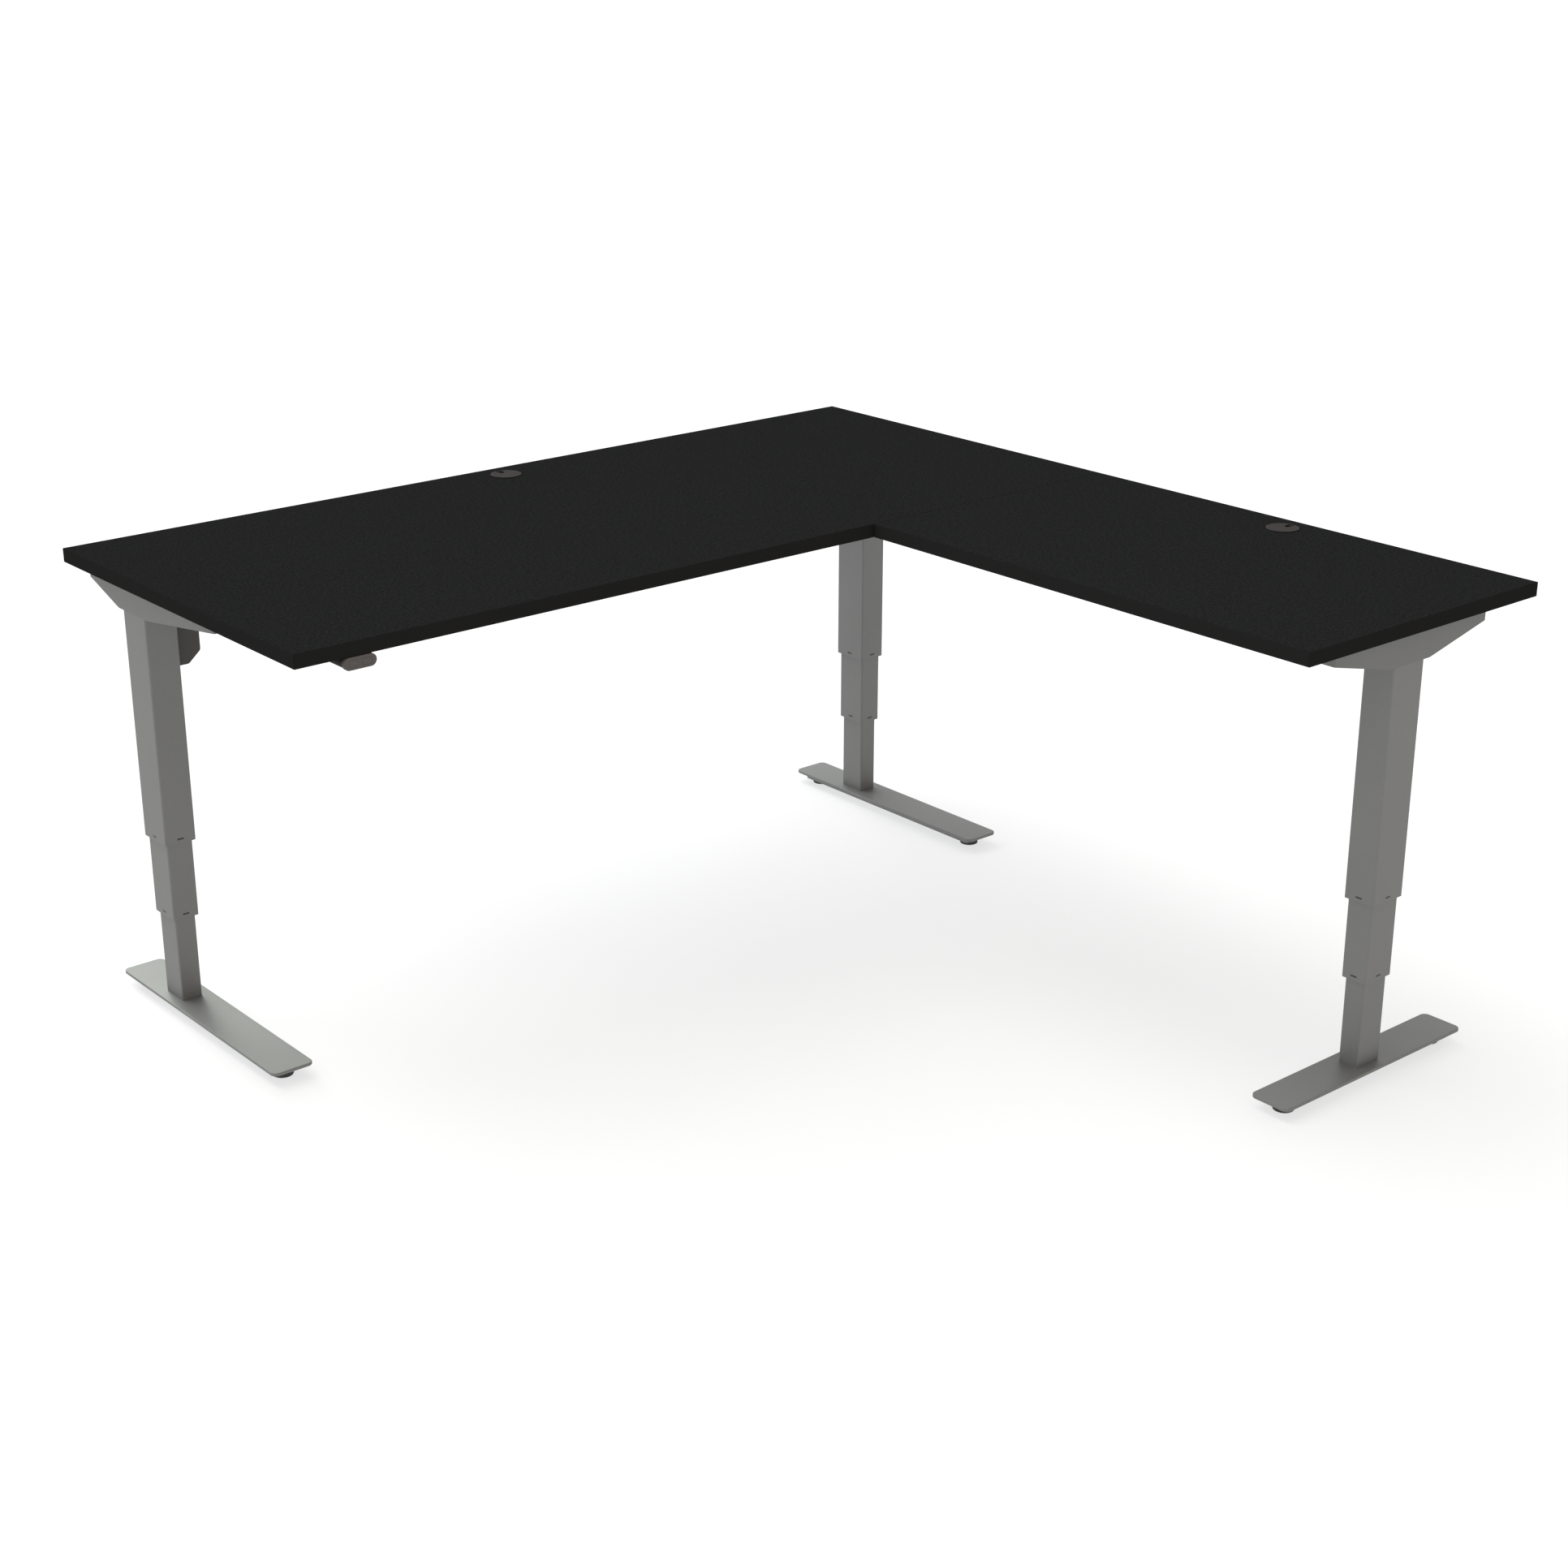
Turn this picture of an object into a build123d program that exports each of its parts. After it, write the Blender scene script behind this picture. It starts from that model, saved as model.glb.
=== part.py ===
from build123d import *
import os

# Height adjustable L-shaped desk on three telescopic legs, in millimetres.
# The origin is on the floor, under the centre of the desk's outline. +Y points
# to the long back edge of the main top, and the return runs along -Y.
os.makedirs("parts", exist_ok=True)

# Worktops
desk_length = 1800
main_depth = 800
return_width = 600
top_thickness = 25
top_edge_round = 0.8
rest_height = 847

# Telescopic columns: widths across and along the foot, sheet and corner
outer_section = (60, 80)
middle_section = (50, 70)
inner_section = (40, 60)
tube_wall = 2
tube_corner = 3
outer_low = 336
middle_low = 189
middle_length = 500
inner_length = 540
slot_width = 12.6
slot_height = 3
slot_rise = 8
glide_height = 38
glide_inset = 2
glide_gap = 0.2

# Legs: place of the column, turn about Z, and the reach of foot and bracket
# to the back and to the front of the column
end_inset = 69
back_inset = 176
right_end_inset = 60
sheet = 2
bracket_width = outer_section[0] + 2 * sheet
bracket_drop = 63
bracket_flat = outer_section[1] / 2 + 12
bracket_end = 28
bracket_bend = 3
bracket_curve = 14
legs = {
    "left": {
        "place": Pos(-desk_length / 2 + end_inset, desk_length / 2 - back_inset, 0),
        "foot": (167, 397),
        "bracket": (157, 297),
    },
    "corner": {
        "place": Pos(desk_length / 2 - end_inset, desk_length / 2 - back_inset, 0),
        "foot": (167, 397),
        "bracket": (157, 297),
    },
    "right": {
        "place": Pos(desk_length / 2 - return_width / 2, -desk_length / 2 + right_end_inset, 0)
        * Rot(0, 0, -90),
        "foot": (242, 242),
        "bracket": (200, 200),
    },
}

# Feet and levellers
foot_width = 80
foot_corner = 12
foot_edge_round = 1.2
channel_bend = 4
plate_top = 27
plate_thickness = 6
channel_width = 56
channel_low = 10
channel_inset = 22
leveller_inset = 42
leveller_radius = 19
stud_radius = 5
knurls = 30
running_gap = 0.05
bolt_radius = 3
bolt_offsets = [(x, y) for x in (-11, 11) for y in (-20, 20)]

# Drive inside each column
motor_radius = 15
motor_low = 668
motor_gear_height = 45
motor_socket = 10
spindle_radius = 6
spindle_low = 290
hollow_radius = 10
hollow_bore = 6.3
hollow_low = 136
collar_radius = 13
collar_height = 6
carrier_floor = 548
carrier_bore = 16
carrier_radius = 17
nut_low = 395
nut_height = 40
head_plate = 8

# Rails, screws, control box, handset and cable grommets
rail_width = 40
rail_height = 25
rail_offset = 70
screw_radius = 2.5
screw_head = 4.5
screw_length = 18
box_size = (48, 120, 141)
box_front = 20
box_split = 18
box_wall = 2.2
box_chamfer = (24, 21)
box_round = 6
inlet_size = (12, 14, 22)
socket_size = (10, 12, 12)
socket_rises = (44, 62, 80, 98)
port_inset = 4
port_wall = 1.5
handset_x = -784
handset_front_size = (60, 21)
handset_case_size = (57, 19)
handset_depth = 72
handset_proud = 2
button_size = (17, 11)
button_offset = 12
grommet_places = {"main": (0, 842, 90), "return": (843, -400, 0)}
grommet_hole = 25
grommet_bore = 23.5
grommet_flange = 30
cap_radius = 27.3
cable_slot = 12

half = desk_length / 2
underside = rest_height - top_thickness
tube_top = underside - sheet
middle_top = middle_low + middle_length
inner_top = plate_top + inner_length
plate_low = plate_top - plate_thickness
seam = half - main_depth


def block(low, high):
    """Box between two opposite corners."""
    size = [b - a for a, b in zip(low, high)]
    centre = [(a + b) / 2 for a, b in zip(low, high)]
    return Pos(*centre) * Box(*size)


def disc(radius, low, high, x=0, y=0):
    """Upright cylinder between two heights."""
    return Pos(x, y, (low + high) / 2) * Cylinder(radius, high - low)


def joined(shapes):
    """One shape made of all the given ones."""
    shapes = list(shapes)
    result = shapes[0]
    for shape in shapes[1:]:
        result += shape
    return result


def column_block(section, low, high, grow=0, corner=tube_corner):
    """Upright block with a column's rounded section, made larger all round by grow."""
    outline = RectangleRounded(section[0] + 2 * grow, section[1] + 2 * grow, corner)
    return Pos(0, 0, low) * extrude(outline, high - low)


def bore_block(section, low, high):
    """Upright block that just fills the inside of a tube."""
    return column_block(section, low, high, -tube_wall, tube_corner - tube_wall)


def slot_blocks(section, tube_low):
    """Blocks through the four walls of a tube, just above its lower end."""
    z = tube_low + slot_rise
    across = section[0] / 2 - tube_wall / 2
    along = section[1] / 2 - tube_wall / 2
    return joined(
        Pos(side * across, 0, z) * Box(tube_wall, slot_width, slot_height)
        for side in (-1, 1)
    ) + joined(
        Pos(0, side * along, z) * Box(slot_width, tube_wall, slot_height)
        for side in (-1, 1)
    )


def tube(section, low, high):
    """Rectangular steel tube."""
    return column_block(section, low, high) - bore_block(section, low, high)


def lower_glide(outside, inside, tube_low):
    """Plastic bush in the lower end of a tube, with four tabs that clip into its slots."""
    low = tube_low + glide_inset
    ring = bore_block(outside, low, low + glide_height)
    ring -= column_block(inside, low, low + glide_height, glide_gap)
    return ring + slot_blocks(outside, tube_low)


def upper_glide(inside, outside, high):
    """Plastic bush round the upper end of a tube, sliding in the tube around it."""
    low = high - glide_height
    ring = column_block(outside, low, high, -tube_wall - glide_gap, tube_corner - tube_wall)
    return ring - column_block(inside, low, high)


def bracket_holes(reach):
    """Screw places in a bracket's top plate."""
    back, front = reach
    return [(x, y) for x in (-18, 18) for y in (back - 30, 60, -60, -front + 30)]


def bracket(reach):
    """Boat-shaped pressed channel, open below, that holds the column's head."""
    back, front = reach
    low = underside - bracket_drop
    end = underside - bracket_end
    outline = make_face(Polyline(
        (back, underside), (back, end), (bracket_flat, low), (-bracket_flat, low),
        (-front, end), (-front, underside), close=True,
    ))
    outline = fillet(outline.vertices().sort_by(Axis.Y)[:2], bracket_curve)
    body = extrude(Plane.YZ * outline, bracket_width / 2, both=True)
    body = fillet(body.edges().filter_by(Axis.Z) + body.faces().sort_by(Axis.Z)[-1].edges(), bracket_bend)
    inner_half = bracket_width / 2 - sheet
    body -= block((-inner_half, -front + sheet, low), (inner_half, back - sheet, tube_top))
    for x, y in bracket_holes(reach):
        body -= disc(screw_radius, tube_top, underside, x, y)
    return body


def leveller_places(reach):
    """Distances of the two levellers from the column, along the foot."""
    back, front = reach
    return {"rear": back - leveller_inset, "front": -front + leveller_inset}


def foot(reach):
    """Flat foot plate with a stiffening channel and leveller bosses welded under it."""
    back, front = reach
    middle = (back - front) / 2
    outline = RectangleRounded(foot_width, back + front, foot_corner)
    plate = Pos(0, middle, plate_low) * extrude(outline, plate_thickness)
    plate = fillet(plate.edges().filter_by(Axis.Z, reverse=True), foot_edge_round)
    half_width = channel_width / 2
    ends = (-front + channel_inset, back - channel_inset)
    channel = block((-half_width, ends[0], channel_low), (half_width, ends[1], plate_low))
    channel = fillet(channel.edges().filter_by(Axis.Z), channel_bend)
    channel = fillet(channel.faces().sort_by(Axis.Z)[0].edges(), channel_bend / 2)
    channel -= block(
        (-half_width + sheet, ends[0] + sheet, channel_low + sheet),
        (half_width - sheet, ends[1] - sheet, plate_low),
    )
    body = plate + channel
    for y in leveller_places(reach).values():
        body += disc(2 * stud_radius, channel_low, plate_low, 0, y)
        body -= disc(stud_radius + running_gap, channel_low, plate_top - sheet, 0, y)
    for x, y in bolt_offsets:
        body -= disc(bolt_radius + 0.2, plate_low, plate_top, x, y)
        body -= disc(2 * bolt_radius + 1, channel_low, channel_low + sheet, x, y)
    return body


def foot_bolts():
    """Four bolts from under the plate into the column's end plate."""
    return joined(
        disc(bolt_radius, plate_low, plate_top + 11, x, y)
        + disc(bolt_radius + 2, plate_low - 4, plate_low, x, y)
        for x, y in bolt_offsets
    )


def leveller(y):
    """Round knurled leveller with its threaded stud."""
    head = disc(leveller_radius, 0, channel_low)
    head = chamfer(head.edges().filter_by(GeomType.CIRCLE), 1)
    for place in PolarLocations(leveller_radius + 0.3, knurls):
        head -= place * Pos(0, 0, channel_low / 2) * Cylinder(1, channel_low)
    return Pos(0, y, 0) * (head + disc(stud_radius, channel_low - 1, plate_top - sheet - 0.5))


def inner_tube():
    """Smallest tube, with a threaded end plate welded in its foot end."""
    body = tube(inner_section, plate_top, inner_top)
    body += bore_block(inner_section, plate_top, plate_top + plate_thickness)
    for x, y in bolt_offsets:
        body -= disc(bolt_radius, plate_top, plate_top + plate_thickness, x, y)
    return body


def motor():
    """In-line gear motor hanging from a plate in the column's head."""
    can_low = motor_low + motor_gear_height
    body = bore_block(outer_section, tube_top - head_plate, tube_top)
    body += disc(motor_radius, can_low, tube_top - head_plate)
    body += disc(motor_radius - 1, motor_low, can_low)
    return body - disc(spindle_radius + running_gap, motor_low, motor_low + motor_socket)


def hollow_spindle():
    """Tubular screw turned by the solid spindle inside it."""
    collar_low = carrier_floor + head_plate
    body = disc(hollow_radius, hollow_low, collar_low) + disc(collar_radius, collar_low, collar_low + collar_height)
    return body - disc(hollow_bore, hollow_low, collar_low + collar_height)


def drive_carrier():
    """Cup fixed in the head of the middle tube that carries the hollow spindle."""
    plate_from = middle_top - head_plate
    body = bore_block(middle_section, plate_from, middle_top)
    body += disc(carrier_radius, carrier_floor, plate_from)
    body -= disc(carrier_bore, carrier_floor + head_plate, middle_top)
    return body - disc(hollow_radius + running_gap, carrier_floor, carrier_floor + head_plate)


def drive_nut():
    """Nut block fixed inside the smallest tube."""
    body = bore_block(inner_section, nut_low, nut_low + nut_height)
    return body - disc(hollow_radius + running_gap, nut_low, nut_low + nut_height)


nodes = {}
outer_glides = []
screw_points = []
for name, leg in legs.items():
    levellers = leveller_places(leg["foot"])
    pieces = {
        "bracket": bracket(leg["bracket"]),
        "outer_tube": tube(outer_section, outer_low, tube_top) - slot_blocks(outer_section, outer_low),
        "motor": motor(),
        "spindle": disc(spindle_radius, spindle_low, motor_low + motor_socket - 1),
        "middle_tube": tube(middle_section, middle_low, middle_top)
        - slot_blocks(middle_section, middle_low),
        "middle_glides": lower_glide(middle_section, inner_section, middle_low)
        + upper_glide(middle_section, outer_section, middle_top - glide_inset),
        "drive_carrier": drive_carrier(),
        "hollow_spindle": hollow_spindle(),
        "inner_tube": inner_tube(),
        "inner_glides": upper_glide(inner_section, middle_section, inner_top - glide_inset),
        "drive_nut": drive_nut(),
        "foot": foot(leg["foot"]),
        "foot_bolts": foot_bolts(),
        "front_leveller": leveller(levellers["front"]),
        "rear_leveller": leveller(levellers["rear"]),
    }
    for piece, shape in pieces.items():
        nodes[f"{name}_{piece}"] = leg["place"] * shape
    outer_glides.append(leg["place"] * lower_glide(outer_section, middle_section, outer_low))
    for x, y in bracket_holes(leg["bracket"]):
        point = (leg["place"] * Pos(x, y, 0)).position
        screw_points.append((point.X, point.Y))
nodes["outer_glides"] = joined(outer_glides)


# Rails: channels, open below, between the brackets. Each is (low corner, high corner)
main_reach = half - end_inset - bracket_width / 2
main_y = half - back_inset
return_x = half - return_width / 2
return_end = -half + right_end_inset + bracket_width / 2
return_start = main_y - rail_offset - rail_width / 2
rails = []
for side in (-1, 1):
    y = main_y + side * rail_offset
    x = return_x + side * rail_offset
    rails.append(
        block((-main_reach, y - rail_width / 2, underside - rail_height),
              (main_reach, y + rail_width / 2, underside))
        - block((-main_reach, y - rail_width / 2 + sheet, underside - rail_height),
                (main_reach, y + rail_width / 2 - sheet, tube_top))
    )
    rails.append(
        block((x - rail_width / 2, return_end, underside - rail_height),
              (x + rail_width / 2, return_start, underside))
        - block((x - rail_width / 2 + sheet, return_end, underside - rail_height),
                (x + rail_width / 2 - sheet, return_start, tube_top))
    )
    screw_points += [(along, y) for along in (-600, -200, 200, 600)]
    screw_points += [(x, along) for along in (-650, -300, 50, 400)]


def top_screw(x, y):
    """Pan-head wood screw, driven up through a sheet into a top."""
    head = disc(screw_head, tube_top - 3, tube_top)
    head = fillet(head.edges().filter_by(GeomType.CIRCLE).sort_by(Axis.Z)[0], 1.5)
    return Pos(x, y, 0) * (head + disc(screw_radius, tube_top, tube_top + screw_length))


def drilled(shape, points, low, high):
    """The shape with a screw hole at each of the points that lies in its outline."""
    room = shape.bounding_box()
    for x, y in points:
        if room.min.X < x < room.max.X and room.min.Y < y < room.max.Y:
            shape -= disc(screw_radius, low, high, x, y)
    return shape


nodes["frame_rails"] = Compound(
    children=[drilled(rail, screw_points, tube_top, underside) for rail in rails]
)
nodes["top_screws"] = Compound(children=[top_screw(x, y) for x, y in screw_points])

# Worktops, with screw holes from below and the two cable holes
tops = {
    "main": block((-half, seam, underside), (half, half, rest_height)),
    "return": block((half - return_width, -half, underside), (half, seam, rest_height)),
}
for name, top in tops.items():
    top = fillet(top.edges(), top_edge_round)
    x, y, _ = grommet_places[name]
    top -= disc(grommet_hole, underside, rest_height, x, y)
    nodes[f"{name}_top"] = drilled(top, screw_points, underside, tube_top + screw_length)

# Cable grommets: the caps turn in their liners, and each has a slot in its rim
flange_top = rest_height + 2
cap_seat = rest_height + 0.6
liners = []
for name, (x, y, turn) in grommet_places.items():
    place = Pos(x, y, 0) * Rot(0, 0, turn)
    liner = disc(grommet_hole, underside + 1, rest_height)
    rim = disc(grommet_flange, rest_height, flange_top)
    rim = fillet(rim.edges().filter_by(GeomType.CIRCLE).sort_by(Axis.Z)[-1], 1)
    liner += rim
    liner -= disc(grommet_bore, underside + 1, flange_top)
    liner -= disc(cap_radius + 0.3, cap_seat, flange_top)
    liners.append(place * liner)
    cap = disc(cap_radius, cap_seat, flange_top)
    cap += disc(grommet_bore - 0.3, rest_height - 9, cap_seat)
    cap -= disc(grommet_bore - 2.3, rest_height - 9, cap_seat - 0.4)
    slot = block((grommet_bore - cable_slot / 2 - 3, -cable_slot / 2, rest_height - 9),
                 (cap_radius + 1, cable_slot / 2, flange_top))
    slot += disc(cable_slot / 2, rest_height - 9, flange_top, grommet_bore - cable_slot / 2 - 3)
    nodes[f"{name}_grommet_cap"] = place * (cap - slot)
nodes["grommet_liners"] = joined(liners)

# Control box on the inner side of the left column, under the rails
box_x = -main_reach
box_y = main_y - box_front
box_top = underside - rail_height
box_low = box_top - box_size[2]
chamfer_x, chamfer_z = box_chamfer
box_outline = Polyline(
    (0, box_low), (box_size[0] - chamfer_x, box_low),
    (box_size[0], box_low + chamfer_z), (box_size[0], box_top), (0, box_top), close=True,
)


def box_shell(inset):
    """Control box outline as a solid, shrunk on every side by inset."""
    face = make_face(box_outline)
    if inset:
        face = offset(face, -inset, kind=Kind.INTERSECTION)
    else:
        face = fillet(face.vertices().filter_by(lambda v: v.X > 1 and v.Y < box_top - 1), box_round)
    solid = extrude(Plane.XZ * face, -(box_size[1] - 2 * inset))
    return Pos(box_x, box_y + inset, 0) * solid


split = box_x + box_split
shell = box_shell(0) - box_shell(box_wall)
left_half = block((box_x - 1, box_y - 1, box_low - 1), (split, box_y + box_size[1] + 1, box_top + 1))
case = shell & left_half
box_back = box_y + box_size[1]


def port(size, rise):
    """Block that fills one of the openings in the back of the control box."""
    wide, deep, high = size
    low = (box_x + port_inset, box_back - deep, box_low + rise)
    return block(low, (box_x + port_inset + wide, box_back, box_low + rise + high))


ports = [port(inlet_size, 14)] + [port(socket_size, rise) for rise in socket_rises]
openings = joined(ports)
nodes["control_box_case"] = case - openings
nodes["control_box_cover"] = shell - left_half
board = block((split - 2.6, box_y + 4, box_low + 10), (split - 1, box_back - 4, box_top - 5))
for filled in ports:
    room = filled.bounding_box()
    board += block((room.min.X, room.min.Y, room.min.Z), (split - 1, box_back - box_wall, room.max.Z))
    board += filled
    board -= block((room.min.X + port_wall, room.max.Y - 8, room.min.Z + port_wall),
                   (room.max.X - port_wall, room.max.Y, room.max.Z - port_wall))
board += block((split - 1, box_y + 14, box_low + 45), (split + 22, box_y + 59, box_low + 100))
board += Pos(split + 9, box_y + 80, box_low + 60) * Rot(0, 90, 0) * Cylinder(9, 20)
nodes["control_board"] = board

# Handset under the front edge, near the left end
front_y = seam - handset_proud
handset_z = underside - 0.5 - handset_front_size[1] / 2
place = Pos(handset_x, 0, handset_z)
bezel = 7


def stadium(size, y_from, y_to):
    """Solid with a stadium section, running along Y."""
    profile = Plane.XZ * SlotOverall(*size)
    return place * Pos(0, y_from, 0) * extrude(profile, -(y_to - y_from))


case_back = front_y + handset_depth
case = stadium(handset_case_size, front_y + bezel, case_back)
case += block((handset_x - 18, front_y + 20, handset_z), (handset_x + 18, case_back - 8, underside))
case -= stadium([side - 4 for side in handset_case_size], front_y + bezel, case_back - 2)
face = stadium(handset_front_size, front_y, front_y + bezel)
face = fillet(face.edges().sort_by(Axis.Y)[:4], 0.8)
face -= stadium([side - 5 for side in handset_case_size], front_y + 2, front_y + bezel)
marks = {
    "up": disc(1.3, -0.3, 0),
    "down": block((-2.5, -0.5, -0.3), (2.5, 0.5, 0)),
}
for side, (name, mark) in zip((-1, 1), marks.items()):
    centre = place * Pos(side * button_offset, front_y, 0) * Rot(-90, 0, 0)
    hole = extrude(RectangleRounded(button_size[0] + 0.6, button_size[1] + 0.6, 3.3), 2)
    face -= centre * hole
    button = extrude(RectangleRounded(*button_size, 3), 2)
    button += Pos(0, 0, 2.3) * extrude(RectangleRounded(button_size[0] - 6, button_size[1] - 5, 2), 8)
    button += Pos(0, 0, 2) * extrude(RectangleRounded(button_size[0] - 6, button_size[1] - 5, 2), 0.3)
    nodes[f"{name}_button"] = centre * (button + mark)
nodes["handset_case"] = case
nodes["handset_front"] = face

for name, shape in nodes.items():
    export_step(shape, f"parts/{name}.step")
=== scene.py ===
import bmesh
import bpy
import math
from mathutils import Matrix, Vector


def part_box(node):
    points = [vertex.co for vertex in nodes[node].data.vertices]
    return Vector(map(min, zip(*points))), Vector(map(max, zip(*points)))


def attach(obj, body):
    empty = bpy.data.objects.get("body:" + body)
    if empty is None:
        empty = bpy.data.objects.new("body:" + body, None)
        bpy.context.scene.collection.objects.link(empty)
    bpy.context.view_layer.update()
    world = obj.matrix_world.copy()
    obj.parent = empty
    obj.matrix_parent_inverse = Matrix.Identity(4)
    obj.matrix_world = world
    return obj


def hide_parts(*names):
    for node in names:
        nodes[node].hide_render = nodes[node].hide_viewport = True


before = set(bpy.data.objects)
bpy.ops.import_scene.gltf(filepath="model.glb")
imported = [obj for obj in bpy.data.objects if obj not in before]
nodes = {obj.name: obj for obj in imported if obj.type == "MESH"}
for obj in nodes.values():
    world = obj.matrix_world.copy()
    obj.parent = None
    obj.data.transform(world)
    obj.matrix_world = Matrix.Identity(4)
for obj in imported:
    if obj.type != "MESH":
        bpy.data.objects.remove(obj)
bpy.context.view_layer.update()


# Studio. A white paper floor that runs out past the picture and a bright, even tent over the desk,
# dimmer and warmer in front. Soft windows behind the desk keep its shadows short.
camera_tilt = 20.780
camera_turn = 40.216
camera = bpy.data.objects.new("camera", bpy.data.cameras.new("camera"))
camera.location = (-2.7114, -3.2079, 2.0373)
camera.rotation_euler = (math.radians(90 - camera_tilt), 0, math.radians(-camera_turn))
camera.data.angle = math.radians(34.445)
camera.data.clip_end = 200
bpy.context.scene.collection.objects.link(camera)
bpy.context.scene.camera = camera
bpy.context.scene.view_settings.view_transform = "Standard"

world = bpy.data.worlds.new("studio")
world.use_nodes = True
bpy.context.scene.world = world
sky = world.node_tree
back_glow = (1.24, 1.29, 1.30)
front_glow = (0.56, 0.46, 0.38)
horizon_glow = (1.0, 0.99, 0.97)
horizon_top = (0.06, 0.22)


def sky_share(line, low, high):
    """0 up to low, 1 from high, and even in between."""
    share = sky.nodes.new("ShaderNodeMapRange")
    share.inputs["From Min"].default_value = low
    share.inputs["From Max"].default_value = high
    sky.links.new(line, share.inputs["Value"])
    return share.outputs["Result"]


def sky_mix(share, first, second):
    """Colour between two others, each of them a value or a node's output."""
    mix = sky.nodes.new("ShaderNodeMix")
    mix.data_type = "RGBA"
    sky.links.new(share, mix.inputs[0])
    for socket, colour in ((mix.inputs[6], first), (mix.inputs[7], second)):
        if isinstance(colour, tuple):
            socket.default_value = (*colour, 1)
        else:
            sky.links.new(colour, socket)
    return mix.outputs[2]


axes = sky.nodes.new("ShaderNodeSeparateXYZ")
sky.links.new(sky.nodes.new("ShaderNodeTexCoord").outputs["Generated"], axes.inputs["Vector"])
ahead = sky_mix(sky_share(axes.outputs["Z"], *horizon_top), horizon_glow, front_glow)
glow = sky_mix(sky_share(axes.outputs["Y"], -1, 1), ahead, back_glow)
sky.links.new(glow, sky.nodes["Background"].inputs["Color"])


def daylight(name, way, spread, strength, colour):
    """Soft sun that comes from a direction, as wide as spread degrees."""
    sun = bpy.data.objects.new(name, bpy.data.lights.new(name, "SUN"))
    sun.data.energy = strength
    sun.data.angle = math.radians(spread)
    sun.data.color = colour
    sun.rotation_euler = Vector(way).to_track_quat("Z", "Y").to_euler()
    bpy.context.scene.collection.objects.link(sun)


daylight("window_behind", (-0.06, 0.60, 0.78), 45, 1.6, (0.97, 1.0, 1.0))
daylight("skylight", (-0.13, 0.16, 0.97), 30, 0.8, (0.98, 1.0, 0.95))

low_window = bpy.data.objects.new("low_window", bpy.data.lights.new("low_window", "AREA"))
low_window.data.size = 0.5
low_window.data.energy = 1.85
low_window.data.spread = math.radians(50)
low_window.data.color = (0.93, 1.0, 0.84)
low_window.location = (-0.58, 1.95, 0.70)
low_window.rotation_euler = Vector((0.28, 2.9, 0.62)).to_track_quat("Z", "Y").to_euler()
bpy.context.scene.collection.objects.link(low_window)


class Socket:
    """An output of a material's nodes. Arithmetic on it adds Math nodes."""

    def __init__(self, finish, socket):
        self.finish = finish
        self.socket = socket

    def math(self, operation, *values):
        return self.finish.node("ShaderNodeMath", {"operation": operation}, dict(enumerate(values)))

    def __add__(self, other):
        return self.math("ADD", self, other)

    def __mul__(self, other):
        return self.math("MULTIPLY", self, other)

    def __sub__(self, other):
        return self.math("SUBTRACT", self, other)

    def __rsub__(self, other):
        return self.math("SUBTRACT", other, self)

    def __gt__(self, other):
        return self.math("GREATER_THAN", self, other)

    def __lt__(self, other):
        return self.math("LESS_THAN", self, other)

    __radd__ = __add__
    __rmul__ = __mul__


class Finish:
    """A material made of one Principled shader and the nodes that feed it."""

    def __init__(self, name, **values):
        self.material = bpy.data.materials.new(name)
        self.material.use_nodes = True
        self.tree = self.material.node_tree
        self.shader = self.tree.nodes["Principled BSDF"]
        for socket, value in values.items():
            self.set(socket.replace("_", " ").title().replace("Ior", "IOR"), value)
        self.place = self.node("ShaderNodeTexCoord", {}, {}, "Object")

    def set(self, name, value):
        """Gives one of the shader's sockets a value or a link."""
        self.feed(self.shader.inputs[name], value)

    def feed(self, target, value):
        if isinstance(value, Socket):
            self.tree.links.new(value.socket, target)
        elif hasattr(value, "__len__") and len(value) == 3 and target.type == "RGBA":
            target.default_value = (*value, 1)
        else:
            target.default_value = value

    def node(self, kind, settings, sockets, output=0):
        """Adds a node: its settings first, then the values or links of its sockets."""
        node = self.tree.nodes.new(kind)
        for name, value in settings.items():
            if name == "stops":
                for element, (position, level) in zip(node.color_ramp.elements, value):
                    element.position = position
                    element.color = (level, level, level, 1)
            else:
                setattr(node, name, value)
        for name, value in sockets.items():
            self.feed(node.inputs[name], value)
        return Socket(self, node.outputs[output])

    def noise(self, scale, detail=2, roughness=0.5):
        values = {"Vector": self.place, "Scale": scale, "Detail": detail, "Roughness": roughness}
        return self.node("ShaderNodeTexNoise", {}, values)

    def along(self, axis):
        """The place's distance along X, Y or Z."""
        return self.node("ShaderNodeSeparateXYZ", {}, {"Vector": self.place}, axis)

    def ramp(self, value, low, high):
        """0 up to low, 1 from high, and even in between."""
        return self.node("ShaderNodeValToRGB", {"stops": ((low, 0), (high, 1))}, {"Fac": value})

    def mix(self, share, first, second):
        """Colour between two others."""
        values = {0: share, 6: first, 7: second}
        return self.node("ShaderNodeMix", {"data_type": "RGBA"}, values, 2)

    def bump(self, height, depth, strength=1.0):
        values = {"Height": height, "Distance": depth, "Strength": strength}
        self.set("Normal", self.node("ShaderNodeBump", {}, values))

    def paint(self, *names):
        """Puts the finish on CAD nodes."""
        for name in names:
            nodes[name].data.materials.clear()
            nodes[name].data.materials.append(self.material)


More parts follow.
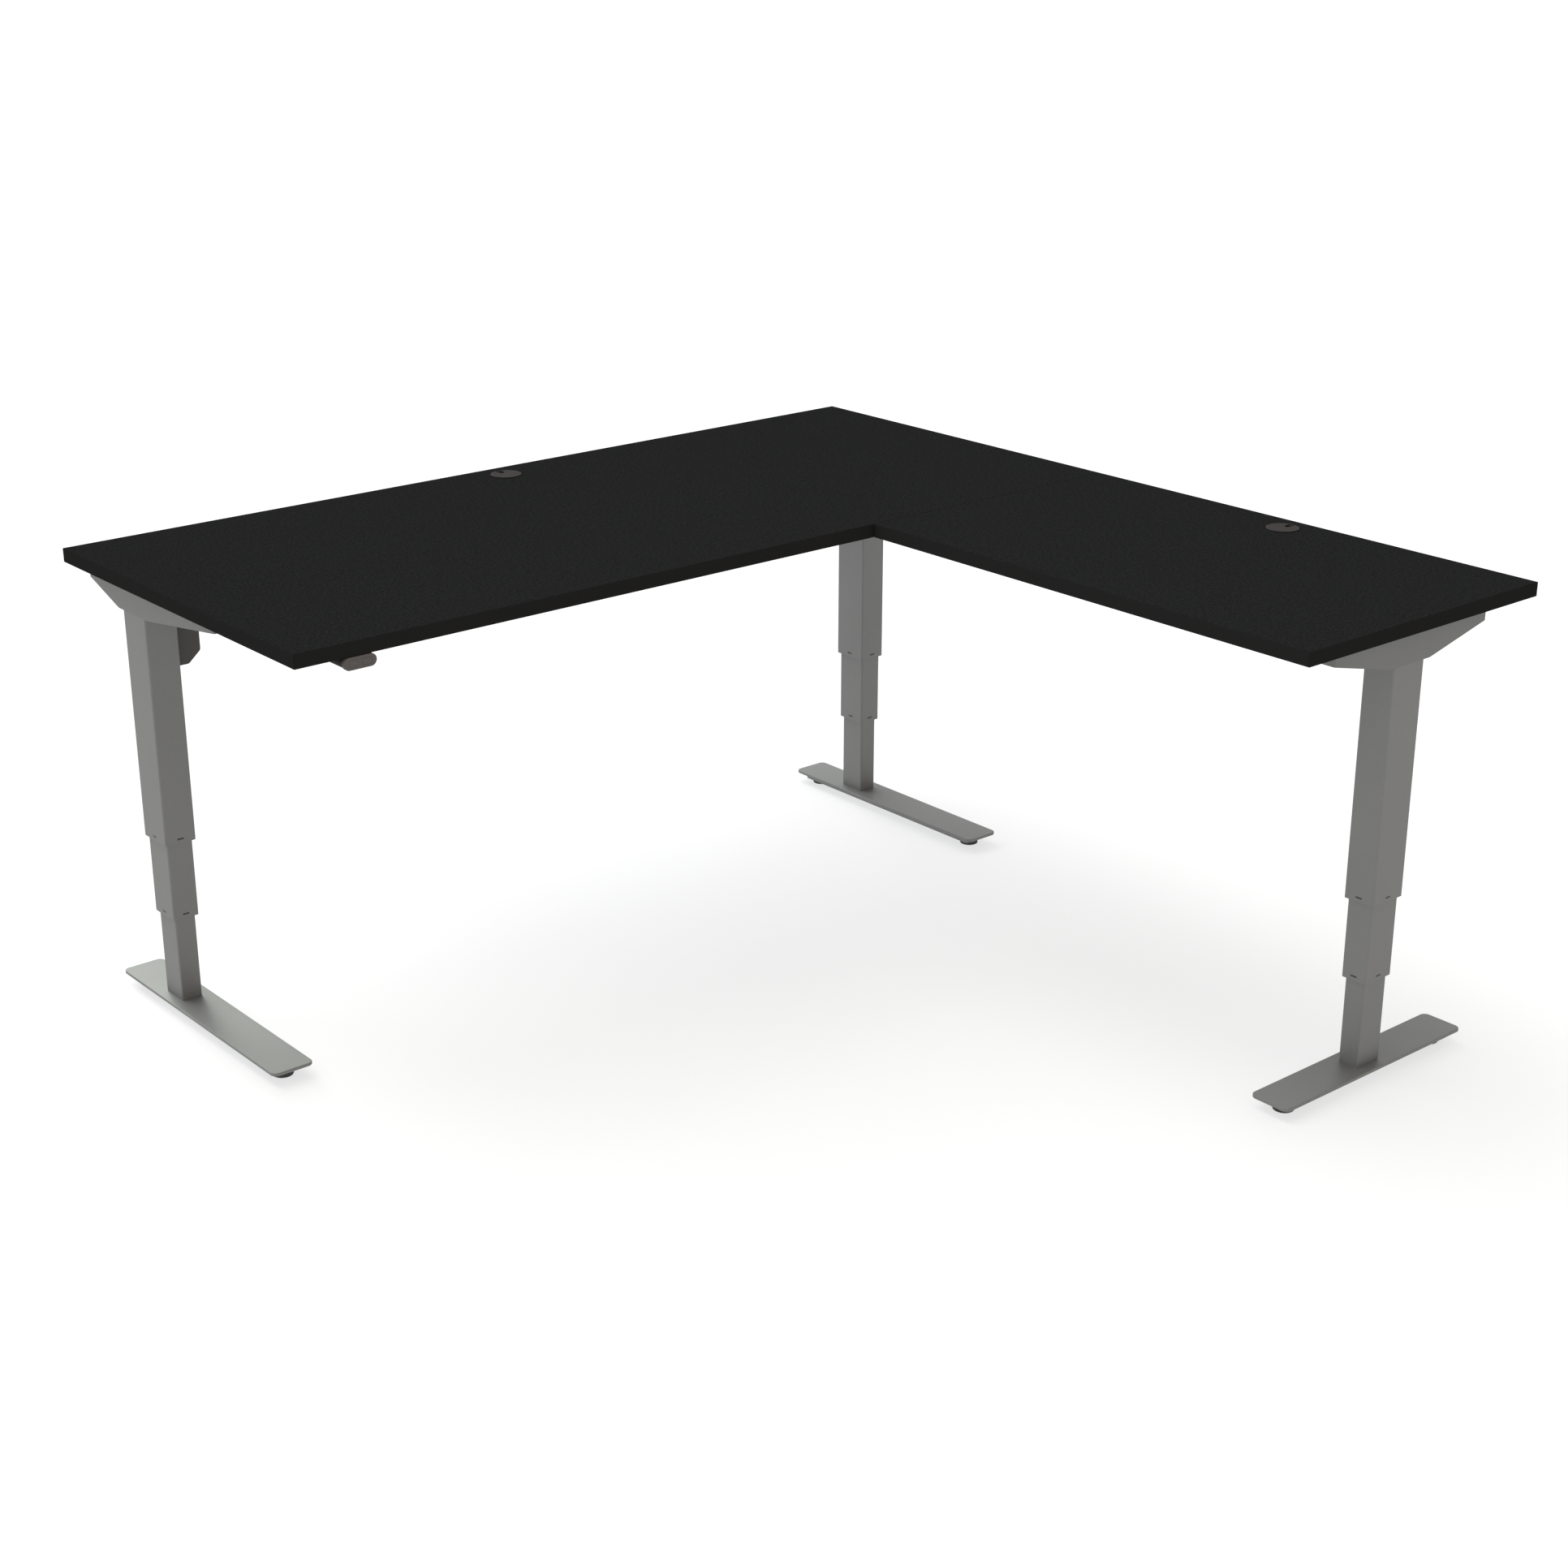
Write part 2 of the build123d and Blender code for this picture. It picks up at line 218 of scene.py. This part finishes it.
floor_mesh = bmesh.new()
bmesh.ops.create_grid(floor_mesh, x_segments=1, y_segments=1, size=80)
floor = bpy.data.objects.new("floor", bpy.data.meshes.new("floor"))
floor_mesh.to_mesh(floor.data)
bpy.context.scene.collection.objects.link(floor)
paper_dark = (0.245, 0.245, 0.245)
paper_light = (0.255, 0.255, 0.255)
paper_glow = (0.99, 0.995, 1.0)
paper = Finish("floor_paper", roughness=0.9, emission_color=paper_glow, emission_strength=0.68)
paper.set("Base Color", paper.mix(paper.noise(3), paper_dark, paper_light))
floor.data.materials.append(paper.material)


# Feet. Each is a 6 mm steel plate with rounded corners and a folded channel welded under it, all
# powder coated silver. The coat has a fine orange peel and a faint sparkle.
sides = ("left", "corner", "right")
coat_dark = (0.146, 0.148, 0.146)
coat_light = (0.212, 0.215, 0.212)


def powder_coat(name, dark, light):
    """Silver coat between two colours, with its orange peel."""
    finish = Finish(name, metallic=0.3, specular_ior_level=0.4)
    peel = finish.noise(480, 4, 0.7)
    cloud = finish.noise(9, 2)
    finish.set("Base Color", finish.mix(peel * 0.75 + cloud * 0.25, dark, light))
    finish.set("Roughness", 0.44 + peel * 0.16)
    finish.bump(peel, 0.00005)
    return finish


silver_coat = powder_coat("silver_powder_coat", coat_dark, coat_light)
silver_coat.paint(*[f"{side}_foot" for side in sides])


def piece(name, mesh, body, slot, finish, *replaced, smooth=30):
    """Makes a mesh a piece that rides on a body and stands for the CAD nodes it replaces."""
    thing = bpy.data.objects.new(name, bpy.data.meshes.new(name))
    mesh.to_mesh(thing.data)
    mesh.free()
    thing.data.shade_smooth()
    thing.data.set_sharp_from_angle(angle=math.radians(smooth))
    thing.data.materials.append(finish.material)
    bpy.context.scene.collection.objects.link(thing)
    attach(thing, body)
    if replaced:
        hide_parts(*replaced)


def leg_place(side):
    """Where a leg's own axes lie: its column is upright on them and its front is -Y."""
    low, high = (Vector(corner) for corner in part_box(f"{side}_inner_tube"))
    centre = (low + high) / 2
    turn = Matrix.Rotation(math.radians(-90 if side == "right" else 0), 4, "Z")
    return Matrix.Translation((centre.x, centre.y, 0)) @ turn


weld_radius = 0.0017
weld_step = 0.0021
weld_beads = 16
weld_starts = (-0.19, -0.10, 0.04, 0.12)
weld_shape = Matrix.Diagonal((1, 1, 0.9, 1))
channel_half = 0.028
plate_low = 0.021
weld_finish = powder_coat("coated_weld", coat_dark, coat_light)
for side in sides:
    place = leg_place(side)
    welds = bmesh.new()
    for flank in (-1, 1):
        for start in weld_starts:
            for bead in range(weld_beads):
                spot = place @ Vector((flank * channel_half, start + bead * weld_step, plate_low))
                bmesh.ops.create_uvsphere(
                    welds, u_segments=8, v_segments=6, radius=weld_radius,
                    matrix=Matrix.Translation(spot) @ weld_shape,
                )
    piece(f"{side}_foot_welds", welds, f"{side}_foot", "frame_paint", weld_finish, smooth=80)


# Levellers. A black coated steel disc with a ribbed grip, pressed on a threaded stud that screws
# into a boss in the foot's channel.
grip_radius = 0.0187
grip_height = 0.010
grip_ribs = 30
grip_groove = 0.955
grip_edge = 0.0012
grip_crown = 0.0011
grip_chamfer = 0.0009
pad_profile = ((0, 0), (0.0155, 0), (0.0162, 0.0005), (0.0162, 0.002), (0, 0.002))
hub_profile = ((0, 0.008), (0.0078, 0.008), (0.0078, 0.0094), (0.0072, 0.0099), (0, 0.0099))
stud_radius = 0.005
stud_depth = 0.0007
stud_pitch = 0.0015
stud_low = 0.0095
stud_top = 0.0245
thread_steps = 20
thread_merge = 2e-5
round_merge = 1e-6
tooth_profile = ((0.25, 0), (0.4, 1), (0.85, 1), (1, 0))


def turned(points, steps=32):
    """Round mesh from (radius, height) points, spun about the Z axis."""
    mesh = bmesh.new()
    corners = [mesh.verts.new((radius, 0, height)) for radius, height in points]
    edges = [mesh.edges.new(pair) for pair in zip(corners, corners[1:])]
    bmesh.ops.spin(
        mesh, geom=corners + edges, axis=(0, 0, 1), cent=(0, 0, 0), angle=2 * math.pi,
        steps=steps, use_merge=True, use_duplicate=False,
    )
    bmesh.ops.remove_doubles(mesh, verts=mesh.verts, dist=round_merge)
    bmesh.ops.recalc_face_normals(mesh, faces=mesh.faces)
    return mesh


def thread(radius, depth, pitch, starts, low, high):
    """Threaded rod on the Z axis: one turn's teeth, wound upwards and cut flat at both ends."""
    mesh = bmesh.new()
    lead = pitch * starts
    turns = math.ceil((high - low) / lead) + 2
    points = [(radius - depth, 0)]
    for start in range(starts):
        for share, out in tooth_profile:
            points.append((radius - depth + out * depth, (start + share) * pitch))
    corners = [mesh.verts.new((out, 0, low - 1.5 * lead + up)) for out, up in points]
    edges = [mesh.edges.new(pair) for pair in zip(corners, corners[1:])]
    bmesh.ops.spin(
        mesh, geom=corners + edges, axis=(0, 0, 1), cent=(0, 0, 0), angle=2 * math.pi,
        steps=thread_steps, dvec=(0, 0, lead / thread_steps), use_duplicate=False,
    )
    turn = mesh.verts[:] + mesh.edges[:] + mesh.faces[:]
    for number in range(1, turns):
        copy = bmesh.ops.duplicate(mesh, geom=turn)["geom"]
        verts = [item for item in copy if isinstance(item, bmesh.types.BMVert)]
        bmesh.ops.translate(mesh, vec=(0, 0, number * lead), verts=verts)
    bmesh.ops.remove_doubles(mesh, verts=mesh.verts, dist=thread_merge)
    for height, below in ((low, True), (high, False)):
        bmesh.ops.bisect_plane(
            mesh, geom=mesh.verts[:] + mesh.edges[:] + mesh.faces[:], plane_co=(0, 0, height),
            plane_no=(0, 0, 1), clear_inner=below, clear_outer=not below,
        )
    bmesh.ops.holes_fill(mesh, edges=[edge for edge in mesh.edges if edge.is_boundary], sides=0)
    bmesh.ops.recalc_face_normals(mesh, faces=mesh.faces)
    return mesh


def put(target, part, place):
    """Adds a mesh to another one, at a place."""
    bmesh.ops.transform(part, matrix=place, verts=part.verts)
    loose = bpy.data.meshes.new("loose")
    part.to_mesh(loose)
    part.free()
    target.from_mesh(loose)
    bpy.data.meshes.remove(loose)


def raised_verts(mesh):
    """Extrudes all of a mesh's faces, and gives the new ones' corners to be moved."""
    raised = bmesh.ops.extrude_face_region(mesh, geom=mesh.faces[:])["geom"]
    return [item for item in raised if isinstance(item, bmesh.types.BMVert)]


def leveller_mesh():
    """Leveller that stands on the origin: scalloped grip, pad, hexagon hub and threaded stud."""
    mesh = bmesh.new()
    disc = bmesh.ops.create_circle(
        mesh, cap_ends=True, segments=3 * grip_ribs, radius=grip_radius,
        matrix=Matrix.Translation((0, 0, grip_edge)),
    )
    bmesh.ops.scale(mesh, vec=(grip_groove, grip_groove, 1), verts=disc["verts"][::3])
    bmesh.ops.translate(mesh, vec=(0, 0, grip_height - 2 * grip_edge), verts=raised_verts(mesh))
    for cap in [face for face in mesh.faces if len(face.verts) > 4]:
        bmesh.ops.inset_region(mesh, faces=[cap], thickness=grip_chamfer, depth=0.0)
        way = 1 if cap.calc_center_median().z > grip_height / 2 else -1
        bmesh.ops.translate(mesh, vec=(0, 0, way * grip_crown), verts=cap.verts)
    bmesh.ops.recalc_face_normals(mesh, faces=mesh.faces)
    put(mesh, turned(pad_profile, 48), Matrix())
    put(mesh, turned(hub_profile, 6), Matrix())
    stud = thread(stud_radius, stud_depth, stud_pitch, 1, stud_low, stud_top)
    put(mesh, stud, Matrix())
    return mesh


black_steel = Finish("black_coated_steel", metallic=0.0, specular_ior_level=0.5)
fleck = black_steel.noise(900, 2)
black_dark = (0.016, 0.0155, 0.015)
black_light = (0.03, 0.029, 0.028)
black_steel.set("Base Color", black_steel.mix(fleck, black_dark, black_light))
black_steel.set("Roughness", 0.42 + fleck * 0.2)
black_steel.bump(fleck, 0.00004)
for side in sides:
    for end in ("front", "rear"):
        name = f"{side}_{end}_leveller"
        low, high = (Vector(corner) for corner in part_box(name))
        centre = (low + high) / 2
        mesh = leveller_mesh()
        bmesh.ops.translate(mesh, vec=(centre.x, centre.y, 0), verts=mesh.verts)
        piece(f"{name}_turned", mesh, name, "leveller_black", black_steel, name, smooth=35)


# Foot bolts. Four zinc plated hexagon bolts with washers, put in from below through the foot
# plate into the threaded end plate of the smallest tube.
bolt_places = [(x, y) for x in (-0.011, 0.011) for y in (-0.020, 0.020)]
bolt_across = 0.0085
bolt_radius = 0.003
bolt_depth = 0.0004
bolt_pitch = 0.001
bolt_round = 0.0003
washer_brim = 0.0006
washer_sheet = 0.0008
washer_overlap = 0.0002
shank_overlap = 0.0001
zinc = Finish("zinc_plated_steel", metallic=1.0)
brushed = zinc.noise(260, 3)
zinc.set("Base Color", zinc.mix(brushed, (0.50, 0.50, 0.49), (0.62, 0.62, 0.60)))
zinc.set("Roughness", 0.30 + brushed * 0.15)
zinc.bump(brushed, 0.00002)


def hexagon_bolt(low, seat, top):
    """Bolt that points up, with its washer's upper face on the seat."""
    mesh = bmesh.new()
    washer_low = seat - washer_sheet
    bmesh.ops.create_circle(
        mesh, cap_ends=True, segments=6, radius=bolt_across / math.sqrt(3),
        matrix=Matrix.Translation((0, 0, low)),
    )
    bmesh.ops.translate(mesh, vec=(0, 0, washer_low - low), verts=raised_verts(mesh))
    bmesh.ops.recalc_face_normals(mesh, faces=mesh.faces)
    bmesh.ops.bevel(
        mesh, geom=mesh.edges[:], offset=bolt_round, affect="EDGES", segments=2, profile=0.5,
        material=-1,
    )
    bore = bolt_radius - washer_overlap
    rim = bolt_across / 2 + washer_brim
    ring = ((bore, washer_low), (rim, washer_low), (rim, seat), (bore, seat), (bore, washer_low))
    put(mesh, turned(ring, 32), Matrix())
    shank = thread(bolt_radius, bolt_depth, bolt_pitch, 1, washer_low - shank_overlap, top)
    put(mesh, shank, Matrix())
    return mesh


for side in sides:
    name = f"{side}_foot_bolts"
    low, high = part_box(name)
    bolts = bmesh.new()
    for x, y in bolt_places:
        spot = leg_place(side) @ Matrix.Translation((x, y, 0))
        put(bolts, hexagon_bolt(low[2], plate_low, high[2]), spot)
    piece(f"{name}_threaded", bolts, f"{side}_foot", "screw_steel", zinc, name)


# Columns. Three welded rectangular steel tubes inside each other, drawn smooth and powder coated
# like the feet. The upper tube of each pair is the wider one.
tubes = [f"{side}_{stage}_tube" for side in sides for stage in ("outer", "middle", "inner")]
tube_coat = powder_coat("silver_tube_coat", coat_dark, coat_light)
tube_coat.paint(*tubes)


# Glides. Black acetal bushes clipped into the tubes' ends, whose tabs show in the small slots.
# The moulding is even and slightly waxy.
acetal = Finish("black_acetal", specular_ior_level=0.4)
wax = acetal.noise(300, 2)
acetal.set("Base Color", acetal.mix(wax, (0.010, 0.010, 0.010), (0.018, 0.018, 0.018)))
acetal.set("Roughness", 0.40 + wax * 0.12)
acetal.bump(wax, 0.00002)
acetal.paint("outer_glides")
for side in sides:
    acetal.paint(f"{side}_middle_glides", f"{side}_inner_glides")


# Lifting screws. A solid screw turned by the motor drives a hollow one round it, both rolled
# steel with a two-start thread that lifts 8 mm a turn, left bright and greased.
lift_pitch = 0.004
lift_depth = 0.0009
lift_radii = {"spindle": 0.006, "hollow_spindle": 0.010}
lift_flange = {"spindle": 1, "hollow_spindle": 1.3}
lift_plain = 0.008
lift_collar = 0.006
lift_overlap = 0.0005
lift_chamfer = 0.0005
screw_steel = Finish("greased_screw_steel", metallic=1.0)
grease = screw_steel.noise(45, 3)
screw_steel.set("Base Color", screw_steel.mix(grease, (0.38, 0.37, 0.34), (0.55, 0.54, 0.52)))
screw_steel.set("Roughness", 0.22 + grease * 0.22)
for side in sides:
    place = leg_place(side)
    for kind, radius in lift_radii.items():
        name = f"{side}_{kind}"
        low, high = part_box(name)
        flange = radius * lift_flange[kind]
        neck = high[2] - lift_plain
        collar = high[2] - lift_collar
        mesh = thread(radius, lift_depth, lift_pitch, 2, low[2], neck)
        head = ((0, neck - lift_overlap), (radius, neck - lift_overlap), (radius, collar),
                (flange, collar), (flange, high[2] - lift_chamfer), (radius, high[2]), (0, high[2]))
        put(mesh, turned(head), Matrix())
        bmesh.ops.transform(mesh, matrix=place, verts=mesh.verts)
        piece(f"{name}_threaded", mesh, name, "spindle_steel", screw_steel, name)


# Nuts and carriers. The nut in the smallest tube is a block of natural nylon, and the carrier
# that holds the hollow screw in the middle tube is zinc plated steel.
nylon = Finish("natural_nylon", subsurface_weight=0.1)
milk = nylon.noise(60, 3)
nylon.set("Base Color", nylon.mix(milk, (0.66, 0.62, 0.50), (0.74, 0.71, 0.60)))
nylon.set("Roughness", 0.38 + milk * 0.14)
nylon.paint(*[f"{side}_drive_nut" for side in sides])
zinc.paint(*[f"{side}_drive_carrier" for side in sides])


# Motors. An in-line gear motor hangs from the head plate of each column: a drawn steel can, a
# gear case below it, pressed bands round both, and two low brass studs.
motor_radius = 0.015
band_heights = (0.006, 0.038, 0.049, 0.112)
band_radius = motor_radius + 0.0006
band_bore = 0.0139
stud_profile = ((0, -0.001), (0.0026, -0.001), (0.0026, 0.0004), (0.002, 0.0008), (0, 0.0008))
stud_height = 0.122
can_steel = Finish("motor_can_steel", metallic=1.0)
haze = can_steel.noise(120, 3)
can_steel.set("Base Color", can_steel.mix(haze, (0.30, 0.30, 0.30), (0.42, 0.42, 0.41)))
can_steel.set("Roughness", 0.34 + haze * 0.18)
can_steel.paint(*[f"{side}_motor" for side in sides])
brass = Finish("brass_studs", metallic=1.0)
dull = brass.noise(200, 2)
brass.set("Base Color", brass.mix(dull, (0.60, 0.44, 0.18), (0.72, 0.54, 0.24)))
brass.set("Roughness", 0.28 + dull * 0.2)
for side in sides:
    place = leg_place(side)
    low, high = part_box(f"{side}_motor")
    bands = bmesh.new()
    for height in band_heights:
        z = low[2] + height
        ring = ((band_bore, z), (band_radius, z + 0.0004), (band_radius, z + 0.0022),
                (band_bore, z + 0.0026), (band_bore, z))
        put(bands, turned(ring, 40), place)
    piece(f"{side}_motor_bands", bands, "desk_top", "motor_steel", zinc)
    studs = bmesh.new()
    for flank in (-1, 1):
        spot = Matrix.Translation((0, flank * motor_radius, low[2] + stud_height))
        outwards = Matrix.Rotation(-flank * math.pi / 2, 4, "X")
        put(studs, turned(stud_profile, 20), place @ spot @ outwards)
    piece(f"{side}_motor_studs", studs, "desk_top", "motor_steel", brass)


# Brackets and rails. Pressed steel channels, open below, screwed up under the tops: a boat
# shaped one holds each column's head, and four straight ones tie them together.
# Their coat is the columns' silver coat made darker by about an eighth. That darkening is painted
# shade for the shade under the tops.
bracket_painted_shade_dark = (0.128, 0.130, 0.128)
bracket_painted_shade_light = (0.187, 0.190, 0.187)
bracket_painted_shade_coat = powder_coat("silver_coat_painted_shade", bracket_painted_shade_dark, bracket_painted_shade_light)
bracket_painted_shade_coat.paint("frame_rails", *[f"{side}_bracket" for side in sides])


# Screws. Zinc plated pan heads with a six-lobed recess, driven up through the brackets and rails
# into the board.
head_radius = 0.0045
head_height = 0.003
head_round = 0.0013
head_sides = 12
recess_rim = 0.0012
recess_depth = 0.0018
recess_lobes = 0.72
screw_radius = 0.0025
screw_point = 0.012
screw_length = 0.020
screw_seat = 0.820


def lowest_face(mesh):
    """The face that is lowest on its own, such as a screw head's flat end."""
    return min(mesh.faces, key=lambda face: face.calc_center_median().z)


def screw_mesh():
    """Pan-head screw that points up from its seat at the origin."""
    mesh = bmesh.new()
    bmesh.ops.create_circle(mesh, cap_ends=True, segments=head_sides, radius=head_radius)
    bmesh.ops.translate(mesh, vec=(0, 0, -head_height), verts=raised_verts(mesh))
    bmesh.ops.recalc_face_normals(mesh, faces=mesh.faces)
    bmesh.ops.bevel(
        mesh, geom=lowest_face(mesh).edges[:], offset=head_round, affect="EDGES", segments=3,
        profile=0.5, material=-1,
    )
    bmesh.ops.inset_region(mesh, faces=[lowest_face(mesh)], thickness=recess_rim, depth=0.0)
    caps = [face for face in mesh.faces if len(face.verts) == head_sides and face.normal.z < -0.9]
    cap = min(caps, key=lambda face: face.calc_area())
    lobes = Matrix.Translation(-cap.calc_center_median())
    lobe_verts = list(cap.verts)[::2]
    bmesh.ops.scale(mesh, vec=(recess_lobes, recess_lobes, 1), space=lobes, verts=lobe_verts)
    sunk = bmesh.ops.extrude_face_region(mesh, geom=[cap])["geom"]
    verts = [item for item in sunk if isinstance(item, bmesh.types.BMVert)]
    bmesh.ops.translate(mesh, vec=(0, 0, recess_depth), verts=verts)
    if cap.is_valid:
        bmesh.ops.delete(mesh, geom=[cap], context="FACES_ONLY")
    bmesh.ops.recalc_face_normals(mesh, faces=mesh.faces)
    shank = ((0, -0.0005), (screw_radius, -0.0005), (screw_radius, screw_point), (0, screw_length))
    put(mesh, turned(shank, 12), Matrix())
    return mesh


bracket_reach = {"left": (0.157, 0.297), "corner": (0.157, 0.297), "right": (0.2, 0.2)}
bracket_screw_side = 0.018
bracket_screw_end = 0.030
bracket_screw_middle = 0.060
rail_offset = 0.070
main_rail_screws = (-0.6, -0.2, 0.2, 0.6)
return_rail_screws = (-0.65, -0.3, 0.05, 0.4)
screw_places = []
for side, (back, front) in bracket_reach.items():
    ends = (back - bracket_screw_end, -front + bracket_screw_end)
    for x in (-bracket_screw_side, bracket_screw_side):
        for y in (ends[0], bracket_screw_middle, -bracket_screw_middle, ends[1]):
            screw_places.append(leg_place(side) @ Vector((x, y, 0)))
main_rails_y = leg_place("left").translation.y
return_rails_x = leg_place("right").translation.x
for offset in (-rail_offset, rail_offset):
    screw_places += [Vector((x, main_rails_y + offset, 0)) for x in main_rail_screws]
    screw_places += [Vector((return_rails_x + offset, y, 0)) for y in return_rail_screws]
screws = bmesh.new()
for spot in screw_places:
    put(screws, screw_mesh(), Matrix.Translation((spot.x, spot.y, screw_seat)))
piece("worktop_screws", screws, "desk_top", "screw_steel", zinc, "top_screws")


# Worktops. Two chipboard panels in fine grained charcoal laminate, with matching edge bands whose
# glue line is just visible, and a plain backing sheet below. They meet in a tight seam.
top_z = 0.847
underside_z = 0.822
sheet_depth = 0.0006
glue_line = (0.0010, 0.0013)
laminate_dark = (0.0050, 0.0056, 0.0055)
laminate_light = (0.0182, 0.0190, 0.0189)
laminate_cloud = (0.0122, 0.0127, 0.0126)
band_dark = (0.0130, 0.0130, 0.0130)
band_light = (0.0165, 0.0165, 0.0165)
backing_dark = (0.012, 0.0115, 0.011)
backing_light = (0.019, 0.0185, 0.018)
glue = (0.004, 0.004, 0.004)


def laminate(name, node):
    """Finish of one panel, with its face, edge band, glue line and backing each in its place."""
    finish = Finish(name, specular_ior_level=0.0)
    low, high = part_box(node)
    grain = finish.noise(800, 3, 0.7)
    fleck = finish.ramp(finish.noise(210, 4, 0.75), 0.40, 0.60)
    cloud = finish.noise(5, 2)
    face = finish.mix(grain * 0.5 + fleck * 0.5, laminate_dark, laminate_light)
    face = finish.mix(cloud * 0.2, face, laminate_cloud)
    band = finish.mix(grain, band_dark, band_light)
    backing = finish.mix(finish.noise(160, 3), backing_dark, backing_light)
    up = finish.along("Z")
    edges = [finish.along(axis) for axis in "XY"]
    outer, inner = glue_line
    border = sum(
        ((line < low[axis] + inner) + (line > high[axis] - inner)
         - (line < low[axis] + outer) - (line > high[axis] - outer))
        for axis, line in enumerate(edges)
    )
    colour = finish.mix(up > top_z - sheet_depth, band, face)
    colour = finish.mix(up < underside_z + sheet_depth, colour, backing)
    finish.set("Base Color", finish.mix(border > 0.5, colour, glue))
    finish.set("Roughness", 0.50 + grain * 0.18)
    finish.bump(grain * 0.5 + fleck * 0.5, 0.00006)
    return finish


for name in ("main_top", "return_top"):
    laminate(f"charcoal_laminate_{name}", name).paint(name)


# Cable grommets. Moulded grey ABS: a flanged liner pressed in the top and a cap that turns in it,
# with a slot in the rim for cables. The moulding is finely spark eroded.
def moulded(name, dark, light, gloss=0.42, shine=0.02):
    """Spark eroded ABS between two colours."""
    finish = Finish(name, specular_ior_level=shine)
    grain = finish.noise(900, 3, 0.6)
    finish.set("Base Color", finish.mix(grain, dark, light))
    finish.set("Roughness", gloss + grain * 0.16)
    finish.bump(grain, 0.00005)
    return finish


grommet_grey = moulded("grommet_grey", (0.017, 0.0135, 0.0135), (0.027, 0.0215, 0.0215))
grommet_grey.paint("main_grommet_cap", "return_grommet_cap")
liner_grey = moulded("liner_grey", (0.018, 0.016, 0.016), (0.027, 0.024, 0.024), gloss=0.28)
liner_grey.paint("grommet_liners")


# Control box. A two-part dark grey ABS case clipped under the rails on the left column's inner
# side, with its sockets at the back and a circuit board in it.
box_grey = moulded("control_box_grey", (0.060, 0.054, 0.054), (0.084, 0.076, 0.076), shine=0.2)
box_grey.paint("control_box_case", "control_box_cover")
board = Finish("circuit_board", specular_ior_level=0.5)
board_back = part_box("control_board")[1][1]
socket_row = 0.015
parts_gap = 0.001
tracks = board.ramp(board.noise(260, 1), 0.50, 0.54)
solder_mask = board.mix(tracks, (0.010, 0.075, 0.028), (0.014, 0.11, 0.042))
sheet_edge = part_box("control_box_cover")[0][0] - parts_gap
on_sheet = board.along("X") < sheet_edge
behind = board.along("Y") > board_back - socket_row
parts_black = board.mix(board.noise(700, 2), (0.012, 0.012, 0.012), (0.022, 0.022, 0.022))
board.set("Base Color", board.mix(on_sheet * (1 - behind), parts_black, solder_mask))
board.set("Roughness", 0.34 + tracks * 0.1)
board.bump(tracks, 0.00005)
board.paint("control_board")

cover_low, cover_high = (Vector(corner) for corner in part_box("control_box_cover"))
cover_inset = 0.009
cover_fold = 0.030
cover_screw_gap = 0.0001
cover_screw_size = Matrix.Diagonal((0.65, 0.65, 0.45, 1))
sideways = Matrix.Rotation(math.radians(-90), 4, "Y")
cover_screws = bmesh.new()
for y in (cover_low.y + cover_inset, cover_high.y - cover_inset):
    for z in (cover_low.z + cover_fold, cover_high.z - cover_inset):
        spot = Matrix.Translation((cover_high.x + cover_screw_gap, y, z))
        put(cover_screws, screw_mesh(), spot @ sideways @ cover_screw_size)
piece("control_box_screws", cover_screws, "desk_top", "screw_steel", zinc)

louvre_size = (0.0010, 0.062, 0.0022)
louvre_round = 0.0003
louvre_rows = 9
louvre_step = 0.0062
louvre_low = cover_low.z + 0.046
louvres = bmesh.new()
for row in range(louvre_rows):
    bar = bmesh.new()
    bmesh.ops.create_cube(bar, size=1, matrix=Matrix.Diagonal((*louvre_size, 1)))
    bmesh.ops.bevel(
        bar, geom=bar.edges[:], offset=louvre_round, affect="EDGES", segments=2, profile=0.5,
        material=-1,
    )
    height = louvre_low + row * louvre_step
    middle = (cover_low.y + cover_high.y) / 2
    put(louvres, bar, Matrix.Translation((cover_high.x, middle, height)))
piece("control_box_louvres", louvres, "desk_top", "box_plastic", box_grey)


# Handset. A small dark grey ABS switch under the front edge: a slim case screwed to the board,
# a rounded front, and two keys with a plain dot and a plain bar.
handset_grey = moulded("handset_grey", (0.094, 0.086, 0.083), (0.118, 0.109, 0.106))
handset_grey.paint("handset_front")
case_grey = moulded("handset_case_grey", (0.022, 0.021, 0.021), (0.034, 0.032, 0.032))
case_grey.paint("handset_case")
key_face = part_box("handset_front")[0][1]
keys = Finish("handset_keys", specular_ior_level=0.1)
skin = keys.noise(900, 3, 0.6)
mark_depth = 0.00005
mark = keys.along("Y") < key_face - mark_depth
cap_colour = keys.mix(skin, (0.088, 0.080, 0.077), (0.112, 0.103, 0.100))
keys.set("Base Color", keys.mix(mark, cap_colour, (0.13, 0.125, 0.12)))
keys.set("Roughness", 0.40 + skin * 0.15)
keys.bump(skin, 0.00004)
keys.paint("up_button", "down_button")
